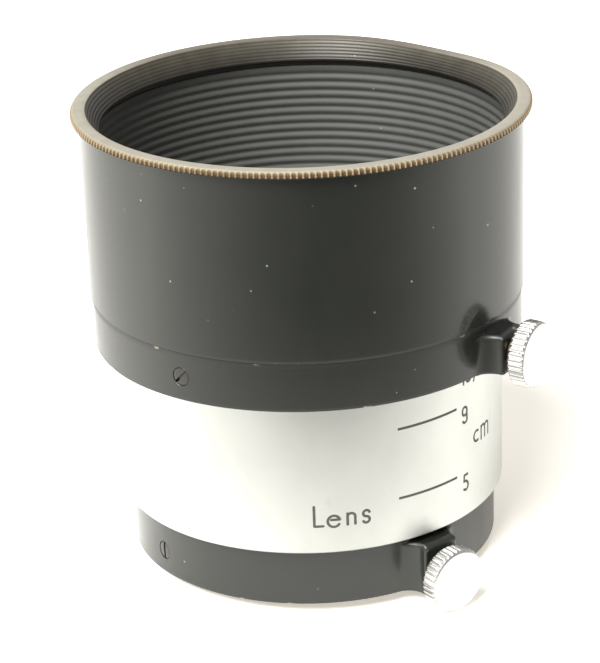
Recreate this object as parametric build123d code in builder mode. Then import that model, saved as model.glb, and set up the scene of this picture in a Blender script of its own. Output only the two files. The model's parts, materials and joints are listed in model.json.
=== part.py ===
from build123d import *
import math
import os

# Adjustable clamp-on lens hood.
# Millimetres. +Z runs along the optical axis towards the mouth, and the origin is the
# centre of the clamp bore on the rear face. An azimuth is counted from -Y towards +X.

# Base collar, which slips over the lens rim
CLAMP_BORE_R = 18.05
BASE_R = 20.5
BASE_VISIBLE_H = 6.54
BASE_SPIGOT_TOP = 9.4
LENS_STOP_Z = 6.2
LENS_STOP_TOP = 8.2
LENS_STOP_R = 16.8
SPIGOT_BORE_R = 18.8

# Inner tube with the scale
TUBE_R = 21.43
TUBE_BORE_R = 20.5
TUBE_TOP = 30.6
TUBE_EDGE_CHAMFER = 0.12
TUBE_RIB_PITCH = 1.0
TUBE_RIB_DEPTH = 0.25
TUBE_RIB_FIRST_Z = 11.0
TUBE_RIB_LAST_Z = 28.0

# Hood: collar, barrel and front rim
HOOD_COLLAR_R = 23.67
HOOD_COLLAR_Z = 24.05
HOOD_COLLAR_TOP = 29.42
SPIGOT_Z = 28.2
BARREL_SPIGOT_R = 22.8
BARREL_SPIGOT_BORE_R = 21.6
BARREL_R = 23.875
BARREL_BORE_R = 22.3
BARREL_TOP = 49.64
BARREL_SEAM_CHAMFER = 0.12
BARREL_RIB_PITCH = 1.0
BARREL_RIB_DEPTH = 0.25
BARREL_RIB_WIDTH = 0.42
BARREL_RIB_FIRST_Z = 31.3
BARREL_RIB_LAST_Z = 46.3
UNDERCUT_Z = 47.3
UNDERCUT_R = 22.75
RIM_SEAT_R = 23.0
RIM_R = 24.79
RIM_TOP = 50.42
RIM_MOUTH_R = 23.14
RIM_LIP_R = 21.75
RIM_LIP_TOP = 48.25
RIM_LIP_Z = 48.05
RIM_TEETH = 252
RIM_TOOTH_DEPTH = 0.22
RIM_EDGE_CHAMFER = 0.15

# Guide ring, sprung into a groove near the tube's front end
GUIDE_Z = 29.55
GUIDE_H = 0.6
GUIDE_GROOVE_R = 20.98
GUIDE_SPLIT = 1.2
GUIDE_SPLIT_AZIMUTH = 150.0

# Lugs, thumbscrews, clamp bands and the small screws that keep the bands in place
BASE_AZIMUTH = 36.5
HOOD_AZIMUTH = 56.5
THUMBSCREW_RISE = 2.15
LUG_REACH = 2.15
LUG_HALF_WIDTH = 2.2
LUG_BLEND = 2.1
LUG_CORNER = 0.35
LUG_TOP_CHAMFER = 0.35
BASE_LUG_TOP = 5.85
HOOD_LUG_TOP = 28.4
HEAD_R = 3.6
HEAD_THICKNESS = 2.0
HEAD_TEETH = 36
HEAD_TOOTH_DEPTH = 0.2
HEAD_CHAMFER = 0.3
BASE_HEAD_FACE_R = 25.5
HOOD_HEAD_FACE_R = 28.85
STEM_R = 1.25
BAND_RISE = 2.4
BAND_H = 2.4
BAND_THICKNESS = 0.4
BAND_HALF_ANGLE = 97.0
GROOVE_H = 2.5
BASE_GROOVE_R = 18.95
HOOD_GROOVE_R = 22.33
BAND_TRAVEL = 0.5
BAND_SCREW_RISE = 2.65
BAND_SCREW_OFFSET = -91.0
BAND_SCREW_HEAD_R = 1.0
BAND_SCREW_HEAD_H = 0.7
BAND_SCREW_SHANK_R = 0.5
BAND_SCREW_SLOT_W = 0.3
BAND_SCREW_SLOT_DEPTH = 0.35
BAND_SCREW_SINK = 0.05
BASE_SCREW_SLOT_TILT = 90.0
HOOD_SCREW_SLOT_TILT = 45.0

# Engraved scale
ENGRAVING_DEPTH = 0.12
INFILL_SINK = 0.02
STROKE = 0.3
DIGIT_H = 1.85
LINE_START = 25.1
LINE_END = 45.8
SCALE_LINE_Z = {"5": 11.75, "9": 19.8, "13,5": 24.35}
DIGIT_AZIMUTH = 49.0
DIGIT_DROP = 2.1
DIGIT_SHIFT = {"5": 0.0, "9": 0.3, "13,5": 0.4}
LINE_TIP_R = 0.16
PRISM_DEPTH = 0.5
WORD = "Lens"
WORD_H = 2.3
WORD_Z = 9.75
WORD_AZIMUTH = -0.5
UNIT = "cm"
UNIT_H = 3.1
UNIT_Z = 14.5
UNIT_AZIMUTH = 54.3
LETTER_GAP = 0.26

# Clearances
RUNNING = 0.05
SEAT = 0.02
HEADSPACE = 0.1
QUARTER_TURN = 90.0

BASE_BAND_R = BASE_GROOVE_R - HEADSPACE
HOOD_BAND_R = HOOD_GROOVE_R - HEADSPACE
SECTION = Plane.XZ

# Single-line letters on a grid one unit high: advance width, then strokes of two points for
# a straight line or three points for an arc through the middle one.
LETTERS = {
    "1": (0.2, [((0.0, 0.8), (0.16, 1.0)), ((0.16, 1.0), (0.16, 0.0))]),
    "3": (0.48, [((0.04, 0.9), (0.42, 0.76), (0.18, 0.54)), ((0.18, 0.54), (0.44, 0.24), (0.02, 0.1))]),
    "5": (
        0.48,
        [
            ((0.4, 1.0), (0.08, 1.0)),
            ((0.08, 1.0), (0.06, 0.6)),
            ((0.06, 0.6), (0.44, 0.36), (0.24, 0.02)),
            ((0.24, 0.02), (0.04, 0.1)),
        ],
    ),
    "9": (
        0.5,
        [
            ((0.02, 0.74), (0.24, 1.0), (0.44, 0.74)),
            ((0.44, 0.74), (0.24, 0.48), (0.02, 0.74)),
            ((0.44, 0.74), (0.44, 0.3)),
            ((0.44, 0.3), (0.3, 0.02), (0.06, 0.12)),
        ],
    ),
    ",": (0.1, [((0.06, 0.04), (0.0, -0.14))]),
    "c": (0.26, [((0.31, 0.43), (0.02, 0.25), (0.31, 0.08))]),
    "m": (
        0.62,
        [
            ((0.02, 0.0), (0.02, 0.5)),
            ((0.02, 0.38), (0.17, 0.5), (0.3, 0.36)),
            ((0.3, 0.36), (0.3, 0.0)),
            ((0.3, 0.38), (0.45, 0.5), (0.58, 0.36)),
            ((0.58, 0.36), (0.58, 0.0)),
        ],
    ),
    "L": (0.52, [((0.04, 1.0), (0.04, 0.0)), ((0.04, 0.0), (0.44, 0.0))]),
    "e": (0.5, [((0.04, 0.3), (0.44, 0.3)), ((0.44, 0.3), (0.1, 0.5), (0.4, 0.06))]),
    "n": (
        0.48,
        [
            ((0.04, 0.0), (0.04, 0.56)),
            ((0.04, 0.38), (0.22, 0.56), (0.4, 0.38)),
            ((0.4, 0.38), (0.4, 0.0)),
        ],
    ),
    "s": (
        0.42,
        [
            ((0.34, 0.5), (0.04, 0.44), (0.19, 0.3)),
            ((0.19, 0.3), (0.34, 0.12), (0.04, 0.06)),
        ],
    ),
}

os.makedirs("parts", exist_ok=True)


def radial_plane(azimuth, height, distance):
    """Plane facing outwards at a distance from the axis, its own y pointing up."""
    angle = math.radians(azimuth)
    outward = (math.sin(angle), -math.cos(angle), 0)
    along = (math.cos(angle), math.sin(angle), 0)
    origin = (distance * outward[0], distance * outward[1], height)
    return Plane(origin=origin, x_dir=along, z_dir=outward)


def turned_plane(azimuth, height):
    """Level plane whose own x points along an azimuth."""
    return Plane.XY.offset(height).rotated((0, 0, azimuth - QUARTER_TURN))


def knurl_points(crest_r, depth, count):
    """Zigzag outline of a straight knurl."""
    step = math.pi / count
    radii = (crest_r, crest_r - depth)
    return [
        (radii[i % 2] * math.cos(i * step), radii[i % 2] * math.sin(i * step))
        for i in range(2 * count)
    ]


def rib_levels(first, last, pitch):
    """Heights of evenly spaced grooves."""
    count = round((last - first) / pitch) + 1
    return [first + i * pitch for i in range(count)]


def thumbscrew(azimuth, height, face_r, tip_r):
    """Knurled thumbscrew on a radial axis: a chamfered flat head and a plain stem."""
    back_r = face_r - HEAD_THICKNESS
    front = radial_plane(azimuth, height, back_r)
    lengthwise = Plane(origin=front.origin, x_dir=front.z_dir, z_dir=front.x_dir)
    with BuildPart() as screw:
        with BuildSketch(front):
            with BuildLine():
                Polyline(*knurl_points(HEAD_R, HEAD_TOOTH_DEPTH, HEAD_TEETH), close=True)
            make_face()
        extrude(amount=HEAD_THICKNESS)
        with BuildSketch(lengthwise):
            with BuildLine():
                Polyline(
                    (0, 0),
                    (HEAD_THICKNESS, 0),
                    (HEAD_THICKNESS, HEAD_R - HEAD_CHAMFER),
                    (HEAD_THICKNESS - HEAD_CHAMFER, HEAD_R),
                    (HEAD_CHAMFER, HEAD_R),
                    (0, HEAD_R - HEAD_CHAMFER),
                    close=True,
                )
            make_face()
        revolve(axis=Axis(front.origin, front.z_dir), mode=Mode.INTERSECT)
        with BuildSketch(radial_plane(azimuth, height, tip_r)):
            Circle(STEM_R)
        extrude(amount=back_r - tip_r)
    return screw


def clamp_band(azimuth, base_z, outer_r):
    """Leaf of spring bronze, an open arc with a guide slot near one end."""
    with BuildPart() as band:
        with BuildSketch(turned_plane(azimuth, base_z + BAND_RISE - BAND_H / 2)):
            Circle(outer_r)
            Circle(outer_r - BAND_THICKNESS, mode=Mode.SUBTRACT)
            with BuildLine():
                open_half = math.radians(BAND_HALF_ANGLE)
                far = outer_r * 2
                Polyline(
                    (0, 0),
                    (far * math.cos(open_half), far * math.sin(open_half)),
                    (-far, far),
                    (-far, -far),
                    (far * math.cos(open_half), -far * math.sin(open_half)),
                    close=True,
                )
            make_face(mode=Mode.SUBTRACT)
        extrude(amount=BAND_H)
        slot = radial_plane(azimuth + BAND_SCREW_OFFSET, base_z + BAND_SCREW_RISE, 0)
        with BuildSketch(slot):
            with Locations((BAND_TRAVEL / 2, 0)):
                SlotCenterToCenter(BAND_TRAVEL, 2 * (BAND_SCREW_SHANK_R + HEADSPACE))
        extrude(amount=2 * outer_r, mode=Mode.SUBTRACT)
    return band


def band_screw(azimuth, height, collar_r, tip_r, slot_tilt):
    """Small slotted cheese-head screw sunk into a collar."""
    face_r = collar_r - BAND_SCREW_SINK
    with BuildPart() as screw:
        with BuildSketch(radial_plane(azimuth, height, face_r)):
            Circle(BAND_SCREW_HEAD_R)
        extrude(amount=-BAND_SCREW_HEAD_H)
        with BuildSketch(radial_plane(azimuth, height, tip_r)):
            Circle(BAND_SCREW_SHANK_R)
        extrude(amount=face_r - BAND_SCREW_HEAD_H - tip_r)
        with BuildSketch(radial_plane(azimuth, height, face_r)):
            Rectangle(3 * BAND_SCREW_HEAD_R, BAND_SCREW_SLOT_W, rotation=slot_tilt)
        extrude(amount=-BAND_SCREW_SLOT_DEPTH, mode=Mode.SUBTRACT)
    return screw


def lettering(text, azimuth, height, size):
    """Prisms of the letters of a word, standing through the tube from an azimuth onwards."""
    with BuildPart() as word:
        start = 0.0
        for letter in text:
            advance, strokes = LETTERS[letter]
            turn = math.degrees((start + advance / 2) * size / TUBE_R)
            with BuildSketch(radial_plane(azimuth + turn, height, TUBE_R - PRISM_DEPTH)):
                for stroke in strokes:
                    points = [((x - advance / 2) * size, y * size) for x, y in stroke]
                    with BuildLine():
                        if len(points) == 2:
                            Line(*points)
                        else:
                            ThreePointArc(*points)
                    trace(line_width=STROKE)
                    with Locations(points[0], points[-1]):
                        Circle(STROKE / 2)
            extrude(amount=2 * PRISM_DEPTH)
            start += advance + LETTER_GAP
    return word


def scale_line(height):
    """Ring segment with round ends that marks one level of the scale."""
    start = radial_plane(LINE_START, 0, 0)
    section = Plane(origin=(0, 0, height), x_dir=start.z_dir, z_dir=-start.x_dir)
    with BuildPart() as line:
        with BuildSketch(section):
            with Locations((TUBE_R, 0)):
                Rectangle(2 * PRISM_DEPTH, STROKE)
        revolve(axis=Axis.Z, revolution_arc=LINE_END - LINE_START)
        for azimuth in (LINE_START, LINE_END):
            with BuildSketch(radial_plane(azimuth, height, TUBE_R - PRISM_DEPTH)):
                Circle(LINE_TIP_R)
            extrude(amount=2 * PRISM_DEPTH)
    return line


def ring(bottom, top, inner_r, outer_r):
    """Plain ring about the optical axis."""
    with BuildPart() as band:
        with BuildSketch(Plane.XY.offset(bottom)):
            Circle(outer_r)
            Circle(inner_r, mode=Mode.SUBTRACT)
        extrude(amount=top - bottom)
    return band


def collar(collar_r, azimuth, bottom, lug_top, profile, bore_profile):
    """Turned collar with a lug, drilled for its thumbscrew and its band screw."""
    reach = collar_r + LUG_REACH
    with BuildPart() as body:
        with BuildSketch(turned_plane(azimuth, bottom)) as outline:
            Circle(collar_r)
            with Locations((reach / 2, 0)):
                Rectangle(reach, 2 * LUG_HALF_WIDTH)
            corners = outline.vertices().sort_by(Axis.X)
            fillet(corners[-2:], LUG_CORNER)
            roots = outline.vertices().filter_by(
                lambda v: abs(abs(v.Y) - LUG_HALF_WIDTH) < SEAT and v.X < collar_r
            )
            fillet(roots, LUG_BLEND)
        extrude(amount=lug_top - bottom)
        chamfer(body.edges().group_by(Axis.Z)[-1], LUG_TOP_CHAMFER)
        with BuildSketch(SECTION):
            with BuildLine():
                Polyline(*profile, close=True)
            make_face()
        revolve(axis=Axis.Z)
        with BuildSketch(SECTION):
            with BuildLine():
                Polyline(*bore_profile, close=True)
            make_face()
        revolve(axis=Axis.Z, mode=Mode.SUBTRACT)
        with BuildSketch(radial_plane(azimuth, bottom + THUMBSCREW_RISE, 0)):
            Circle(STEM_R + RUNNING)
        extrude(amount=2 * collar_r, mode=Mode.SUBTRACT)
        screw_azimuth = azimuth + BAND_SCREW_OFFSET
        head_floor_r = collar_r - BAND_SCREW_SINK - BAND_SCREW_HEAD_H - SEAT
        with BuildSketch(radial_plane(screw_azimuth, bottom + BAND_SCREW_RISE, 0)):
            Circle(BAND_SCREW_SHANK_R + SEAT)
        extrude(amount=2 * collar_r, mode=Mode.SUBTRACT)
        with BuildSketch(radial_plane(screw_azimuth, bottom + BAND_SCREW_RISE, head_floor_r)):
            Circle(BAND_SCREW_HEAD_R + HEADSPACE)
        extrude(amount=collar_r, mode=Mode.SUBTRACT)
    return body


# Base collar: clamp bore with a band groove, a stop for the lens rim, and a spigot for the tube
base_collar = collar(
    BASE_R,
    BASE_AZIMUTH,
    0,
    BASE_LUG_TOP,
    [(0, 0), (BASE_R, 0), (BASE_R, BASE_SPIGOT_TOP), (0, BASE_SPIGOT_TOP)],
    [
        (0, 0),
        (CLAMP_BORE_R, 0),
        (CLAMP_BORE_R, BAND_RISE - GROOVE_H / 2),
        (BASE_GROOVE_R, BAND_RISE - GROOVE_H / 2),
        (BASE_GROOVE_R, BAND_RISE + GROOVE_H / 2),
        (CLAMP_BORE_R, BAND_RISE + GROOVE_H / 2),
        (CLAMP_BORE_R, LENS_STOP_Z),
        (LENS_STOP_R, LENS_STOP_Z),
        (LENS_STOP_R, LENS_STOP_TOP),
        (SPIGOT_BORE_R, LENS_STOP_TOP),
        (SPIGOT_BORE_R, BASE_SPIGOT_TOP),
        (0, BASE_SPIGOT_TOP),
    ],
)
base_collar.part.label = "base_collar"
export_step(base_collar.part, "parts/base_collar.step")

# Hood collar: bore for the tube with a band groove, and a counterbore for the barrel
hood_band_z = HOOD_COLLAR_Z + BAND_RISE
hood_collar = collar(
    HOOD_COLLAR_R,
    HOOD_AZIMUTH,
    HOOD_COLLAR_Z,
    HOOD_LUG_TOP,
    [
        (0, HOOD_COLLAR_Z),
        (HOOD_COLLAR_R, HOOD_COLLAR_Z),
        (HOOD_COLLAR_R, HOOD_COLLAR_TOP),
        (0, HOOD_COLLAR_TOP),
    ],
    [
        (0, HOOD_COLLAR_Z),
        (TUBE_R + RUNNING, HOOD_COLLAR_Z),
        (TUBE_R + RUNNING, hood_band_z - GROOVE_H / 2),
        (HOOD_GROOVE_R, hood_band_z - GROOVE_H / 2),
        (HOOD_GROOVE_R, hood_band_z + GROOVE_H / 2),
        (TUBE_R + RUNNING, hood_band_z + GROOVE_H / 2),
        (TUBE_R + RUNNING, SPIGOT_Z),
        (BARREL_SPIGOT_R + SEAT, SPIGOT_Z),
        (BARREL_SPIGOT_R + SEAT, HOOD_COLLAR_TOP),
        (0, HOOD_COLLAR_TOP),
    ],
)
hood_collar.part.label = "hood_collar"
export_step(hood_collar.part, "parts/hood_collar.step")

# Clamp bands, which the thumbscrews press inwards on the lens rim and on the tube
base_clamp_band = clamp_band(BASE_AZIMUTH, 0, BASE_BAND_R)
base_clamp_band.part.label = "base_clamp_band"
export_step(base_clamp_band.part, "parts/base_clamp_band.step")

hood_clamp_band = clamp_band(HOOD_AZIMUTH, HOOD_COLLAR_Z, HOOD_BAND_R)
hood_clamp_band.part.label = "hood_clamp_band"
export_step(hood_clamp_band.part, "parts/hood_clamp_band.step")

# Band screws, whose tips guide the bands in their slots
base_band_screw = band_screw(
    BASE_AZIMUTH + BAND_SCREW_OFFSET,
    BAND_SCREW_RISE,
    BASE_R,
    BASE_BAND_R - BAND_THICKNESS - HEADSPACE,
    BASE_SCREW_SLOT_TILT,
)
base_band_screw.part.label = "base_band_screw"
export_step(base_band_screw.part, "parts/base_band_screw.step")

hood_band_screw = band_screw(
    HOOD_AZIMUTH + BAND_SCREW_OFFSET,
    HOOD_COLLAR_Z + BAND_SCREW_RISE,
    HOOD_COLLAR_R,
    HOOD_BAND_R - BAND_THICKNESS - HEADSPACE,
    HOOD_SCREW_SLOT_TILT,
)
hood_band_screw.part.label = "hood_band_screw"
export_step(hood_band_screw.part, "parts/hood_band_screw.step")

# Thumbscrews, whose tips stand just clear of the bands
base_thumbscrew = thumbscrew(
    BASE_AZIMUTH, THUMBSCREW_RISE, BASE_HEAD_FACE_R, BASE_BAND_R + RUNNING
)
base_thumbscrew.part.label = "base_thumbscrew"
export_step(base_thumbscrew.part, "parts/base_thumbscrew.step")

hood_thumbscrew = thumbscrew(
    HOOD_AZIMUTH, HOOD_COLLAR_Z + THUMBSCREW_RISE, HOOD_HEAD_FACE_R, HOOD_BAND_R + RUNNING
)
hood_thumbscrew.part.label = "hood_thumbscrew"
export_step(hood_thumbscrew.part, "parts/hood_thumbscrew.step")

# Scale: the engraved shapes, as prisms through the tube's outer skin
with BuildPart() as scale_shapes:
    for text, line_z in SCALE_LINE_Z.items():
        add(scale_line(line_z).part)
        add(lettering(text, DIGIT_AZIMUTH - DIGIT_SHIFT[text], line_z - DIGIT_DROP, DIGIT_H).part)
    add(lettering(WORD, WORD_AZIMUTH, WORD_Z, WORD_H).part)
    add(lettering(UNIT, UNIT_AZIMUTH, UNIT_Z, UNIT_H).part)

with BuildPart() as engraving:
    add(ring(0, TUBE_TOP, TUBE_R - ENGRAVING_DEPTH, TUBE_R + PRISM_DEPTH / 2).part)
    add(scale_shapes.part, mode=Mode.INTERSECT)

# Paint that fills the engraving to just below the tube's surface
with BuildPart() as scale_infill:
    add(ring(0, TUBE_TOP, TUBE_R - ENGRAVING_DEPTH, TUBE_R - INFILL_SINK).part)
    add(scale_shapes.part, mode=Mode.INTERSECT)
scale_infill.part.label = "scale_infill"
export_step(scale_infill.part, "parts/scale_infill.step")

# Inner tube: plain outside with a guide groove near its front end, ribbed inside
guide_groove_z = GUIDE_Z - SEAT
guide_groove_top = GUIDE_Z + GUIDE_H + SEAT
with BuildPart() as inner_tube:
    with BuildSketch(SECTION):
        with BuildLine():
            Polyline(
                (TUBE_BORE_R, BASE_VISIBLE_H),
                (TUBE_R - TUBE_EDGE_CHAMFER, BASE_VISIBLE_H),
                (TUBE_R, BASE_VISIBLE_H + TUBE_EDGE_CHAMFER),
                (TUBE_R, guide_groove_z),
                (GUIDE_GROOVE_R, guide_groove_z),
                (GUIDE_GROOVE_R, guide_groove_top),
                (TUBE_R, guide_groove_top),
                (TUBE_R, TUBE_TOP - TUBE_EDGE_CHAMFER),
                (TUBE_R - TUBE_EDGE_CHAMFER, TUBE_TOP),
                (TUBE_BORE_R, TUBE_TOP),
                close=True,
            )
        make_face()
    revolve(axis=Axis.Z)
    for level in rib_levels(TUBE_RIB_FIRST_Z, TUBE_RIB_LAST_Z, TUBE_RIB_PITCH):
        with BuildSketch(SECTION):
            with BuildLine():
                Polyline(
                    (TUBE_BORE_R, level - TUBE_RIB_DEPTH),
                    (TUBE_BORE_R + TUBE_RIB_DEPTH, level),
                    (TUBE_BORE_R, level + TUBE_RIB_DEPTH),
                    close=True,
                )
            make_face()
        revolve(axis=Axis.Z, mode=Mode.SUBTRACT)
    add(engraving.part, mode=Mode.SUBTRACT)
inner_tube.part.label = "inner_tube"
export_step(inner_tube.part, "parts/inner_tube.step")

# Guide ring: a split spring ring that centres the barrel on the tube and stops the collar
with BuildPart() as guide_ring:
    with BuildSketch(turned_plane(GUIDE_SPLIT_AZIMUTH, GUIDE_Z)):
        Circle(BARREL_BORE_R - RUNNING)
        Circle(GUIDE_GROOVE_R + RUNNING, mode=Mode.SUBTRACT)
        with Locations((BARREL_BORE_R, 0)):
            Rectangle(BARREL_BORE_R, GUIDE_SPLIT, mode=Mode.SUBTRACT)
    extrude(amount=GUIDE_H)
guide_ring.part.label = "guide_ring"
export_step(guide_ring.part, "parts/guide_ring.step")

# Hood barrel: spigot for the collar, ribbed bore, undercut and seat for the front rim
with BuildPart() as hood_barrel:
    with BuildSketch(SECTION):
        with BuildLine():
            Polyline(
                (BARREL_SPIGOT_BORE_R, SPIGOT_Z + SEAT),
                (BARREL_SPIGOT_R, SPIGOT_Z + SEAT),
                (BARREL_SPIGOT_R, HOOD_COLLAR_TOP),
                (BARREL_R - BARREL_SEAM_CHAMFER, HOOD_COLLAR_TOP),
                (BARREL_R, HOOD_COLLAR_TOP + BARREL_SEAM_CHAMFER),
                (BARREL_R, BARREL_TOP),
                (RIM_SEAT_R + SEAT, BARREL_TOP),
                (RIM_SEAT_R + SEAT, RIM_LIP_Z),
                (UNDERCUT_R, RIM_LIP_Z),
                (UNDERCUT_R, UNDERCUT_Z),
                (BARREL_BORE_R, UNDERCUT_Z),
                (BARREL_BORE_R, HOOD_COLLAR_TOP),
                (BARREL_SPIGOT_BORE_R, HOOD_COLLAR_TOP),
                close=True,
            )
        make_face()
    revolve(axis=Axis.Z)
    for level in rib_levels(BARREL_RIB_FIRST_Z, BARREL_RIB_LAST_Z, BARREL_RIB_PITCH):
        with BuildSketch(SECTION):
            with BuildLine():
                Polyline(
                    (BARREL_BORE_R, level - BARREL_RIB_WIDTH / 2),
                    (BARREL_BORE_R + BARREL_RIB_DEPTH, level),
                    (BARREL_BORE_R, level + BARREL_RIB_WIDTH / 2),
                    close=True,
                )
            make_face()
        revolve(axis=Axis.Z, mode=Mode.SUBTRACT)
hood_barrel.part.label = "hood_barrel"
export_step(hood_barrel.part, "parts/hood_barrel.step")

# Front rim: knurled flange on the barrel's end, with a conical mouth inside
with BuildPart() as front_rim:
    with BuildSketch(Plane.XY.offset(RIM_LIP_Z)):
        with BuildLine():
            Polyline(*knurl_points(RIM_R, RIM_TOOTH_DEPTH, RIM_TEETH), close=True)
        make_face()
    extrude(amount=RIM_TOP - RIM_LIP_Z)
    with BuildSketch(SECTION):
        with BuildLine():
            Polyline(
                (RIM_LIP_R, RIM_LIP_Z),
                (RIM_SEAT_R, RIM_LIP_Z),
                (RIM_SEAT_R, BARREL_TOP),
                (RIM_R - RIM_EDGE_CHAMFER, BARREL_TOP),
                (RIM_R, BARREL_TOP + RIM_EDGE_CHAMFER),
                (RIM_R, RIM_TOP - RIM_EDGE_CHAMFER),
                (RIM_R - RIM_EDGE_CHAMFER, RIM_TOP),
                (RIM_MOUTH_R, RIM_TOP),
                (RIM_LIP_R, RIM_LIP_TOP),
                close=True,
            )
        make_face()
    revolve(axis=Axis.Z, mode=Mode.INTERSECT)
front_rim.part.label = "front_rim"
export_step(front_rim.part, "parts/front_rim.step")
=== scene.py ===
import json
import math

import bmesh
import bpy
import numpy as np
from mathutils import Matrix, Vector


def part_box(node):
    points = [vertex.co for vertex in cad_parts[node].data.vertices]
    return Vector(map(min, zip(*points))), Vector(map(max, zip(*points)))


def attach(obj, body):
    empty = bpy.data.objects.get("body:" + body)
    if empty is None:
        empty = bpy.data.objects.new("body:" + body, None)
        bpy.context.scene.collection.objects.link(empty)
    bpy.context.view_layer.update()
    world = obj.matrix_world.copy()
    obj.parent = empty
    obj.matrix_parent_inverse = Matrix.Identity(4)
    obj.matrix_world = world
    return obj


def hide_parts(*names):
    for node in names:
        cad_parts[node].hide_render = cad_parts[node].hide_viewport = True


# Looks of an adjustable clamp-on lens hood.
# Lengths are in millimetres until they become mesh points. An azimuth is counted from -Y
# towards +X, and heights are along the optical axis, +Z, as in the CAD frame.

MM = 0.001
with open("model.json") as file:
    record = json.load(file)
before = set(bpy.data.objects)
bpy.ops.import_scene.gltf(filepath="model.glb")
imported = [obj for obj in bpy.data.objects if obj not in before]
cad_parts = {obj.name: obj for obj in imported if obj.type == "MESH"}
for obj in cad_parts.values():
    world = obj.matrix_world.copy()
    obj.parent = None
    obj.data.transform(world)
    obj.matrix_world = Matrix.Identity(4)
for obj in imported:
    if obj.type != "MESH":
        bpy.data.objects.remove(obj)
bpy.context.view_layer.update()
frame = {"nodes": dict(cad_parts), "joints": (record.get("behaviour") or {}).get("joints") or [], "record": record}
joints = {joint["name"]: joint for joint in frame["joints"]}


def low(node):
    """Lowest corner of a CAD node, in millimetres."""
    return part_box(node)[0] / MM


def high(node):
    """Highest corner of a CAD node, in millimetres."""
    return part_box(node)[1] / MM


# Sizes read from the frame
TUBE_R = high("inner_tube").x
BASE_R = -low("base_collar").x
BASE_TOP = high("base_collar").z
HOOD_COLLAR_R = -low("hood_collar").x
HOOD_COLLAR_Z = low("hood_collar").z
HOOD_COLLAR_TOP = high("hood_collar").z
BARREL_R = high("hood_barrel").x
BARREL_Z = low("hood_barrel").z
BARREL_TOP = high("hood_barrel").z
RIM_R = high("front_rim").x
RIM_TOP = high("front_rim").z
LIP_Z = low("front_rim").z

# Bores and grooves
CLAMP_BORE_R = 18.05
BASE_GROOVE_R = 18.95
HOOD_GROOVE_R = 22.33
BAND_RISE = 2.4
GROOVE_H = 2.5
STOP_Z = 6.2
STOP_TOP = 8.2
STOP_R = 16.8
SPIGOT_BORE_R = 18.8
SPIGOT_R = 22.8
SPIGOT_BORE = 21.6
BARREL_BORE_R = 22.3
UNDERCUT_Z = 47.3
UNDERCUT_R = 22.75
RUNNING = 0.05
SEAT = 0.02

# Ribs in the barrel
RIB_FIRST = 31.3
RIB_COUNT = 16
RIB_PITCH = 1.0
RIB_DEPTH = 0.22
RIB_HALF = 0.38

# Front rim
MOUTH_R = 23.14
LIP_R = 21.75
LIP_H = 0.2
RIM_SEAT_R = 23.0
RIM_TEETH = 252
RIM_TOOTH = 0.22
CONE_GROOVES = 6
CONE_GROOVE_DEPTH = 0.035
BEVEL_H = 0.28
BEVEL_IN = 0.3
# Reach of the painted shade at both ends of the barrel
PAINTED_SHADE_REACH = 0.15
KNURL_SLOPE = 0.62
DENT_AZIMUTH = 137.0
DENT_SPREAD = 21.0
DENT_INWARDS = 0.75
DENT_DOWN = 0.22
DENT_FOOT = 47.25

# Lugs
LUG_REACH = 2.15
LUG_HALF_WIDTH = 2.2
LUG_BLEND = 2.1
LUG_CORNER = 0.35
LUG_CHAMFER = 0.35
LUG_FILLET = 0.1
BASE_LUG_TOP = 5.85
HOOD_LUG_RISE = 4.35

# Thumbscrews, each face at its distance from the optical axis
BASE_FACE_R = 25.5
HOOD_FACE_R = 28.85
TIP_GAP = 0.05
HEAD_R = 3.6
HEAD_THICKNESS = 2.0
HEAD_TEETH = 36
HEAD_TOOTH = 0.2
HEAD_CHAMFER = 0.3
STEM_R = 1.25
THREAD_PITCH = 0.5
THREAD_DEPTH = 0.12
THREAD_START = 0.6
LEAD_IN = 0.3
NECK = 0.15
DISH_R = 2.7
DISH_H = 0.05
DOME_R = 1.2
DOME_H = 0.12

# Band screws
SMALL_HEAD_R = 1.0
SMALL_HEAD_H = 0.7
SMALL_SHANK_R = 0.5
SMALL_SLOT = 0.3
SMALL_SLOT_DEPTH = 0.35
SMALL_SINK = 0.05
SMALL_RECESS = 0.02
SMALL_FLARE = 0.03
SMALL_DOME_R = 0.4
SMALL_DOME_H = 0.03
SMALL_TIP = 0.6
BAND_SCREW_RISE = 2.65
BAND_SCREW_OFFSET = -91.0

# Mesh density: columns of turned pieces, half a collar, and columns per tooth
BARREL_COLUMNS = 384
SCREW_COLUMNS = 96
DRILL_COLUMNS = 48
COLLAR_HALF = 180
RIM_TOOTH_COLUMNS = 6
HEAD_TOOTH_COLUMNS = 10

# Edge rounding, the reach of wear beside it, and the longest step between rows
EDGE = 0.1
MOUTH_FLARE = 0.15
FADE = 0.3
STEP = 2.0
SMOOTH_ANGLE = math.radians(38)
WELD = 0.0001
CUT_WELD = 0.001


# ---------------------------------------------------------------- mesh building


class Place:
    """A local frame: x and y across, z along an axis, all from one origin."""

    def __init__(self, origin, x, y, z):
        self.origin = np.array(origin, float)
        self.axes = np.array([x, y, z], float)

    def points(self, local):
        return self.origin + local @ self.axes


def radial(azimuth, height):
    """Frame on the optical axis whose z points outwards along an azimuth and whose y points up."""
    a = math.radians(azimuth)
    along = (math.cos(a), math.sin(a), 0)
    outward = (math.sin(a), -math.cos(a), 0)
    return Place((0, 0, height), along, (0, 0, 1), outward)


def level(azimuth):
    """Frame on the optical axis whose x points outwards along an azimuth and whose z is up."""
    a = math.radians(azimuth)
    outward = (math.sin(a), -math.cos(a), 0)
    along = (math.cos(a), math.sin(a), 0)
    return Place((0, 0, 0), outward, along, (0, 0, 1))


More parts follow.
